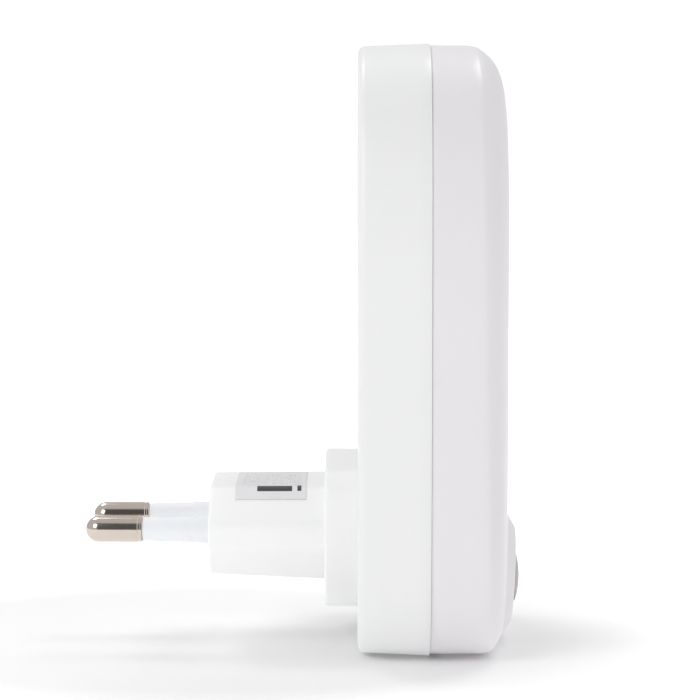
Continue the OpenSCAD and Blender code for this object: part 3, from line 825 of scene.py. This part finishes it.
def plugBlockSurfaces():
    e = plugForm["endEdge"]
    angles = np.linspace(0, np.pi / 2, 7)
    rows = [blockRow(-e + e * math.sin(a), e * (1 - math.cos(a))) for a in angles][::-1]
    rows += [blockRow(y) for y in np.linspace(-e, -plugForm["depth"] - 0.5, 12)[1:]]
    surfaces = [band(rows), disc(rows[0]), disc(rows[-1])]
    w, h, r = plugForm["flange"]
    front, back, f = -plugForm["depth"], plugForm["flangeBack"], plugForm["flangeEdge"]
    rows = [atY(roundBox(w - 2 * f * (1 - math.cos(a)), h - 2 * f * (1 - math.cos(a)),
                         r - f * (1 - math.cos(a)), 0, plugForm["flangeZ"]), front - f + f * math.sin(a))
            for a in angles][::-1]
    rows += [atY(roundBox(w, h, r, 0, plugForm["flangeZ"]), y) for y in (-20.0, back)]
    surfaces += [band(rows), disc(rows[0]), disc(rows[-1])]
    rows = [atY(roundBox(*plugForm["spigot"]), y) for y in (back + 0.4, back - 3.9)]
    return surfaces + [band(rows), disc(rows[0]), disc(rows[1])]


makePiece("plugBlock", plugBlockSurfaces(), plugPlastic, replaces=["plug_block"])


# Moves a turned piece from the Y axis to its pin's place, leaning in towards the other pin
def atPin(surface, side):
    points, triangles = surface
    lean = math.radians(side * plugForm["spread"])
    x = points[:, 0] * math.cos(lean) - points[:, 1] * math.sin(lean) + side * plugForm["pinAt"]
    y = points[:, 0] * math.sin(lean) + points[:, 1] * math.cos(lean)
    return np.stack([x, y, points[:, 2]], 1), triangles


# The dome follows a half circle, and a fine rim ends the bare metal beside the sleeve
def pinProfile():
    a = np.linspace(np.pi / 2, 0, 14)
    dome = np.stack([2.0 * np.cos(a), 17.0 + 1.992 * np.sin(a)], 1)
    shank = [(2.0, 14.0), (2.0, 11.05), (1.93, 10.95), (1.93, 10.72), (2.0, 10.62), (2.0, 10.42),
             (1.9, 10.32), (1.4, 10.31), (1.4, -13.0), (1.1, -13.0), (1.1, -27.9), (0.6, -27.95),
             (0.6, -30.5), (0.45, -30.6), (0.0, -30.6)]
    return np.vstack([dome, shank])


def sleeveProfile():
    return np.array([(1.43, 10.28), (1.74, 10.28), (1.82, 10.2), (1.98, 3.12), (2.05, 3.05), (2.06, 2.9),
                     (2.15, -0.78), (2.1, -0.8), (1.43, -0.8), (1.43, 10.28)])


for sideName, side in (("Left", -1), ("Right", 1)):
    makePiece("pin" + sideName, [atPin(turned(pinProfile(), 72), side)], platedPin,
              replaces=["pin_" + sideName.lower()], crease=30)
    makePiece("sleeve" + sideName, [atPin(turned(sleeveProfile(), 72), side)], sleevePlastic,
              replaces=["sleeve_" + sideName.lower()])

# Sticker

labelForm = {"start": -3.95, "length": 10.7, "topEnd": 8.0, "flap": 2.9, "thick": 0.12, "lift": 0.03}


# The sticker follows the block's top, its eased corner and its upper left face. Its chart holds
# millimetres from the fold and from its front end.
def labelSurfaces():
    ys = np.linspace(labelForm["start"], labelForm["start"] - labelForm["length"], 25)
    under, over, charts = [], [], []
    for y in ys:
        line = blockRow(y)[:, [0, 2]]
        w = plugForm["halfWidth"] - 0.35 * y / plugForm["depth"]
        fold = -w + plugForm["shoulder"]
        upper = line[(line[:, 1] > 2.5) & (line[:, 0] < 0)]
        upper = upper[np.argsort(-upper[:, 0])]
        top = upper[0, 1]
        path = np.vstack([[labelForm["topEnd"], top], [4.0, top], [0.0, top], [-4.0, top], upper])
        steps = np.concatenate([[0], np.cumsum(np.hypot(*np.diff(path, axis=0).T))])
        atFold = np.interp(-fold, -path[:, 0], steps)
        want = np.concatenate([np.linspace(0, atFold - 1.6, 14), np.linspace(atFold - 1.4, atFold + 1.4, 9),
                               np.linspace(atFold + 1.6, atFold + labelForm["flap"], 6)])
        points = np.stack([np.interp(want, steps, path[:, i]) for i in (0, 1)], 1)
        slope = np.gradient(points, axis=0)
        normal = np.stack([slope[:, 1], -slope[:, 0]], 1) / np.hypot(*slope.T)[:, None]
        normal *= np.sign(normal[:, 1:2])
        under.append(atY(points + normal * labelForm["lift"], y))
        over.append(atY(points + normal * (labelForm["lift"] + labelForm["thick"]), y))
        charts.append(np.stack([want - atFold, np.full(len(want), labelForm["start"] - y)], 1))
    loops = [np.vstack([o, u[::-1]]) for o, u in zip(over, under)]
    chart = np.vstack([np.vstack([c, c[::-1]]) for c in charts])
    points, triangles = band(loops)
    size = len(loops[0])
    half = size // 2
    i = np.arange(half - 1)
    capQuads = np.stack([i, i + 1, size - 2 - i, size - 1 - i], 1)
    caps = np.concatenate([capQuads[:, [0, 1, 2]], capQuads[:, [0, 2, 3]]])
    last = (len(loops) - 1) * size
    return [(points, np.vstack([triangles, caps, caps + last]))], chart


labelParts, labelChart = labelSurfaces()
makePiece("ratingLabel", labelParts, labelFilm, replaces=["rating_label"], uv=labelChart)

# Button

buttonForm = {"z": -8.1, "radius": 4.1, "rim": -46.9, "dome": 0.65, "collar": 5.2, "collarTop": -43.8,
              "back": -43.15}


# Shallow dome of radius (r^2 + h^2) / 2h, an eased rim, a straight skirt and the collar behind
def buttonProfile():
    r, h = buttonForm["radius"], buttonForm["dome"]
    ball = (r * r + h * h) / (2 * h)
    across = np.linspace(0, r - 0.16, 18)
    dome = np.stack([across, buttonForm["rim"] - h + ball - np.sqrt(ball ** 2 - across ** 2)], 1)
    skirt = [(r - 0.05, buttonForm["rim"] + 0.02), (r, buttonForm["rim"] + 0.12), (r, -45.4),
             (r, buttonForm["collarTop"]), (buttonForm["collar"] - 0.1, buttonForm["collarTop"]),
             (buttonForm["collar"], buttonForm["collarTop"] + 0.1),
             (buttonForm["collar"], buttonForm["back"]),
             (0.0, buttonForm["back"])]
    return np.vstack([dome, skirt])


makePiece("buttonCap", [turned(buttonProfile(), 96, 0, buttonForm["z"])], buttonMetal, body="button",
          replaces=["button_cap"], crease=30)

# Window and display

windowForm = {"size": (37.0, 25.0, 2.0), "z": 46.0, "front": -44.6, "back": -43.8, "edge": 0.22}


def windowSurfaces():
    w, h, r = windowForm["size"]
    steps = [(1, 0), (0.29, 0.29), (0, 1)]
    rows = [atY(roundBox(w - 2 * i * windowForm["edge"], h - 2 * i * windowForm["edge"],
                         r - i * windowForm["edge"], 0, windowForm["z"]),
                windowForm["front"] + o * windowForm["edge"]) for i, o in steps]
    rows.append(atY(roundBox(w, h, r, 0, windowForm["z"]), windowForm["back"]))
    return [band(rows), disc(rows[0]), disc(rows[-1])]


makePiece("windowLens", windowSurfaces(), clearWindow, replaces=["window_lens"])

digitForm = {"front": -42.1, "thick": 0.04, "lean": 0.1}
digitSegments = {"0": "abcdef", "1": "bc", "2": "abged", "3": "abgcd", "4": "fgbc", "5": "afgcd",
                 "6": "afgedc", "7": "abc", "8": "abcdefg", "9": "abcdfg"}


# The seven bars of a digit of height h and width w, each a six-sided bar
def segmentBars(h, w, thick):
    bars = {}
    half, t = h / 2, thick / 2
    for name, x, z, flat in (("a", 0, half, 1), ("g", 0, 0, 1), ("d", 0, -half, 1),
                             ("f", -w / 2, h / 4, 0), ("b", w / 2, h / 4, 0),
                             ("e", -w / 2, -h / 4, 0), ("c", w / 2, -h / 4, 0)):
        long = (w if flat else half) / 2 - 0.12
        bar = np.array([(-long, 0), (-long + t, t), (long - t, t),
                        (long, 0), (long - t, -t), (-long + t, -t)])
        bars[name] = (bar if flat else bar[:, ::-1]) + [x, z]
    return bars


# Two rows of digits: text, first x, z, height, width, bar, step, and which digit (from 0) a point follows.
# Known fault: the digits step towards -X and their bars are flipped, so from the front they are mirrored.
def readoutSurfaces(lit):
    surfaces = []
    rowsOfDigits = (("1186", 10.6, 42.7, 10.6, 5.0, 1.25, 6.9, 2),
                    ("0042", 8.0, 53.2, 4.4, 2.2, 0.55, 3.4, 1))
    for text, first, z, h, w, bar, step, pointAfter in rowsOfDigits:
        bars = segmentBars(h, w, bar)
        for i, character in enumerate(text):
            x = first - i * step
            names = digitSegments[character]
            names = names if lit else [s for s in "abcdefg" if s not in names]
            for s in names:
                p = bars[s] * [-1, 1]
                surfaces += bar3d(p + np.stack([-p[:, 1] * digitForm["lean"], 0 * p[:, 1]], 1) + [x, z])
            if lit and i == pointAfter:
                dot = circle(bar * 0.55, x - step / 2 + digitForm["lean"] * h / 2, z - h / 2, 16)
                surfaces += bar3d(dot)
    return surfaces


# A flat bar raised off the glass
def bar3d(loop):
    rows = [atY(loop, digitForm["front"] - 0.005), atY(loop, digitForm["front"] - digitForm["thick"])]
    return [band(rows), disc(rows[0]), disc(rows[1])]


makePiece("displayDigits", readoutSurfaces(True), segmentInk)
makePiece("displayGhosts", readoutSurfaces(False), ghostInk)

# Screws in the back

screwForm = {"seat": -25.5, "top": -23.95, "cross": 0.42, "arm": 1.45, "deep": 0.75,
             "end": -38.4}


# Pan head: y = top less a quarter-round edge, with a cross whose arms narrow and rise outwards
def screwSurfaces(x, z):
    count = 96
    angle = np.arange(count) * 2 * np.pi / count
    radii = np.concatenate([np.linspace(0.0, 1.6, 17), [1.8, 2.0, 2.15, 2.28, 2.36, 2.4]])
    r, a = np.meshgrid(radii, angle, indexing="ij")
    px, pz = r * np.cos(a), r * np.sin(a)
    crown = 0.35 * (r / 2.4) ** 2 + 0.45 * np.clip((r - 1.9) / 0.5, 0, 1) ** 2
    arm = np.minimum(np.abs(px), np.abs(pz))
    reach = np.maximum(np.abs(px), np.abs(pz))
    inArm = np.clip((screwForm["cross"] - 0.12 * reach - arm) / 0.09, 0, 1)
    inArm *= np.clip((screwForm["arm"] - reach) / 0.12, 0, 1)
    y = screwForm["top"] - crown - screwForm["deep"] * inArm * (1 - 0.35 * reach / screwForm["arm"])
    rows = np.stack([px + x, y, pz + z], -1)
    low = [(2.4, screwForm["seat"]), (1.0, screwForm["seat"]), (1.0, -38.0), (0.7, screwForm["end"]),
           (0.0, screwForm["end"])]
    tail = [atY(circle(radius, x, z, count), height) for radius, height in low]
    return band(np.concatenate([rows, np.array(tail)]))


makePiece("caseScrews", [screwSurfaces(s * x, z) for s in (-1, 1) for x, z in rearForm["screwAt"]],
          screwSteel, replaces=["case_screws"], crease=40)
print("outer pieces made")

# Finishes of the parts inside


# Circuit board: solder resist over tracks, with a fine weave of glass cloth in its height
def makeBoardGreen():
    material, tree, shader = newMaterial("boardGreen", Roughness=0.32, Coat_Weight=0.3, Coat_Roughness=0.15)
    place = addNode(tree, "Mapping")
    place.inputs["Scale"].default_value = (260.0, 1.0, 420.0)
    tree.links.new(addNode(tree, "TexCoord").outputs["Object"], place.inputs["Vector"])
    cells = addNode(tree, "TexVoronoi", distance="MANHATTAN", feature="F1", Scale=1.0)
    tree.links.new(place.outputs["Vector"], cells.inputs["Vector"])
    track = calc(tree, "GREATER_THAN", cells.outputs["Distance"], 0.62)
    tone = placeGroup(tree, toneDrift, Base=(0.03, 0.16, 0.06, 1), Second=(0.02, 0.11, 0.045, 1),
                      Size=120.0, Amount=0.9)
    colour = mixColours(tree, times(tree, track, 0.6), tone.outputs[0], (0.06, 0.26, 0.1, 1))
    tree.links.new(colour, shader.inputs["Base Color"])
    weave = plus(tree, noiseAt(tree, 2600.0), times(tree, track, 0.8))
    tree.links.new(bumpFrom(tree, weave, 0.15, 0.00005), shader.inputs["Normal"])
    return material


def wrapped(name, base, second, **values):
    return mouldedPlastic(name, base, second, dust=0.03, **values)


slotFinishes = {
    "white_shell": whiteShell, "lilac_shell": lilacShell, "plug_plastic": plugPlastic,
    "sleeve_plastic": sleevePlastic, "plated_pin": platedPin, "label_film": labelFilm,
    "clear_window": clearWindow, "display_glass": displayGlass, "button_metal": buttonMetal,
    "screw_steel": screwSteel, "board_green": makeBoardGreen(),
    "pale_plastic": wrapped("palePlastic", (0.72, 0.73, 0.75), (0.68, 0.69, 0.71)),
    "dark_rubber": wrapped("darkRubber", (0.045, 0.047, 0.05), (0.06, 0.06, 0.065), gloss=(0.6, 0.8),
                           grain=0.9),
    "dark_plastic": wrapped("darkPlastic", (0.02, 0.021, 0.023), (0.03, 0.031, 0.034), gloss=(0.4, 0.55)),
    "cream_plastic": wrapped("creamPlastic", (0.76, 0.72, 0.62), (0.72, 0.68, 0.58)),
    "bare_metal": metalFinish("bareMetal", (0.55, 0.55, 0.56), (0.48, 0.48, 0.5), gloss=(0.2, 0.35)),
    "paper_sheet": wrapped("paperSheet", (0.76, 0.71, 0.56), (0.7, 0.65, 0.5), gloss=(0.65, 0.85),
                           grain=0.9),
    "resistor_body": wrapped("resistorBody", (0.11, 0.27, 0.24), (0.09, 0.23, 0.21), gloss=(0.4, 0.6)),
    "blue_disc": wrapped("blueDisc", (0.03, 0.12, 0.36), (0.025, 0.1, 0.3), gloss=(0.25, 0.4)),
    "yellow_box": wrapped("yellowBox", (0.68, 0.42, 0.05), (0.6, 0.37, 0.04), gloss=(0.3, 0.45)),
    "choke_body": wrapped("chokeBody", (0.04, 0.24, 0.07), (0.03, 0.2, 0.06), gloss=(0.3, 0.5)),
    "can_sleeve": wrapped("canSleeve", (0.04, 0.065, 0.16), (0.035, 0.055, 0.13), gloss=(0.2, 0.3)),
    "transformer_core": wrapped("transformerCore", (0.5, 0.3, 0.03), (0.4, 0.24, 0.025), gloss=(0.35, 0.6)),
}

# Floor and light

floorForm = {
    "level": -18.12, "radius": 1500.0, "turns": 96, "glowFrom": 52.0, "glowFull": 170.0,
    "nearGlow": 0.0,      # what the camera alone sees added to the paint, so that the floor reads as white
    "farGlow": 1.0,
    "bounce": 0.18,        # what the floor gives back to the object on top of its own paint
}


# A flat pale floor in rings. Seen from the camera it fades to plain white away from the object.
def makeFloor():
    radius = np.array([0.0, 60.0, 200.0, 500.0, floorForm["radius"]])
    turns = np.arange(floorForm["turns"]) * 2 * np.pi / floorForm["turns"]
    rows = np.stack([radius[:, None] * np.cos(turns), radius[:, None] * np.sin(turns) - 20.0,
                     floorForm["level"] + 0 * radius[:, None] * turns], -1)
    material, tree, shader = newMaterial("floorPaint", Roughness=0.6, Specular_IOR_Level=0.2)
    tone = placeGroup(tree, toneDrift, Base=(0.95, 0.95, 0.95, 1), Second=(0.94, 0.94, 0.942, 1), Size=4.0,
                      Amount=0.5)
    tree.links.new(tone.outputs[0], shader.inputs["Base Color"])
    place = addNode(tree, "VectorMath", operation="LENGTH")
    tree.links.new(addNode(tree, "TexCoord").outputs["Object"], place.inputs[0])
    reach = minus(tree, place.outputs["Value"], floorForm["glowFrom"] * mm)
    reach = calc(tree, "DIVIDE", reach, (floorForm["glowFull"] - floorForm["glowFrom"]) * mm, True)
    glow = times(tree, reach, floorForm["farGlow"] - floorForm["nearGlow"])
    glow = plus(tree, glow, floorForm["nearGlow"])
    seen = addNode(tree, "LightPath").outputs["Is Camera Ray"]
    bounce = times(tree, minus(tree, 1.0, seen), floorForm["bounce"])
    glow = plus(tree, times(tree, glow, seen), bounce)
    tree.links.new(glow, shader.inputs["Emission Color"])
    shader.inputs["Emission Strength"].default_value = 1.0
    addObject(weldedMesh("floor", [band(rows)]), material)


makeFloor()

lightForm = {
    "leftBox": {"at": (-560, 430, 430), "size": (400, 400), "power": 1.8},
    "rightBox": {"at": (-560, -520, 420), "size": (500, 500), "power": 0.6},
    "backBoxRight": {"at": (420, -350, 760), "size": (340, 340), "power": 1.5},
    "backBoxLeft": {"at": (420, 310, 760), "size": (340, 340), "power": 1.3},
}
for name, form in lightForm.items():
    data = bpy.data.lights.new(name, "AREA")
    data.shape = "RECTANGLE"
    data.size, data.size_y = (s * mm for s in form["size"])
    data.energy = form["power"]
    lamp = bpy.data.objects.new(name, data)
    lamp.location = Vector(form["at"]) * mm
    target = Vector((0, -20, 20)) * mm
    lamp.rotation_mode = "QUATERNION"
    lamp.rotation_quaternion = (target - lamp.location).to_track_quat("-Z", "Y")
    bpy.context.scene.collection.objects.link(lamp)

skyForm = {
    "strength": 0.68, "shade": 0.1, "seen": 1.03,
    "halfWidth": 0.22, "soft": 0.12, "top": 0.9,
    # how fast the strip fades in towards the viewer, below its top and above the horizon
    "facing": -12.0, "topFade": 8.0, "lowFade": 30.0,
}


# Plain white all round for the camera. What lights the object is a dimmer white, less one upright
# dark strip in the direction of the viewer, as a studio's dark side gives.
def makeSky():
    world = bpy.data.worlds.new("studio")
    bpy.context.scene.world = world
    world.use_nodes = True
    tree = world.node_tree
    sky = tree.nodes["Background"]
    split = addNode(tree, "SeparateXYZ")
    tree.links.new(addNode(tree, "TexCoord").outputs["Generated"], split.inputs[0])
    x, y, z = (split.outputs[axis] for axis in "XYZ")
    beside = minus(tree, skyForm["halfWidth"] + skyForm["soft"], calc(tree, "ABSOLUTE", y))
    strip = calc(tree, "DIVIDE", beside, skyForm["soft"], True)
    strip = times(tree, strip, times(tree, x, skyForm["facing"], True))
    belowTop = times(tree, minus(tree, skyForm["top"], z), skyForm["topFade"], True)
    strip = times(tree, strip, belowTop)
    strip = times(tree, strip, times(tree, z, skyForm["lowFade"], True))
    dim = times(tree, strip, skyForm["shade"] - skyForm["strength"])
    light = plus(tree, dim, skyForm["strength"])
    seen = addNode(tree, "LightPath").outputs["Is Camera Ray"]
    light = calc(tree, "MAXIMUM", light, times(tree, seen, skyForm["seen"]))
    tree.links.new(light, sky.inputs["Color"])
    sky.inputs["Strength"].default_value = 1.0


makeSky()
bpy.context.scene.view_settings.view_transform = "Standard"
print("floor and lights placed")

# Finishes on the pieces kept from the frame

for name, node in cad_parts.items():
    for i, slot in enumerate(node.material_slots):
        key = slot.material.name.split(".")[0] if slot.material else ""
        if key in slotFinishes:
            node.material_slots[i].material = slotFinishes[key]
        else:
            print("no finish for", name, key)
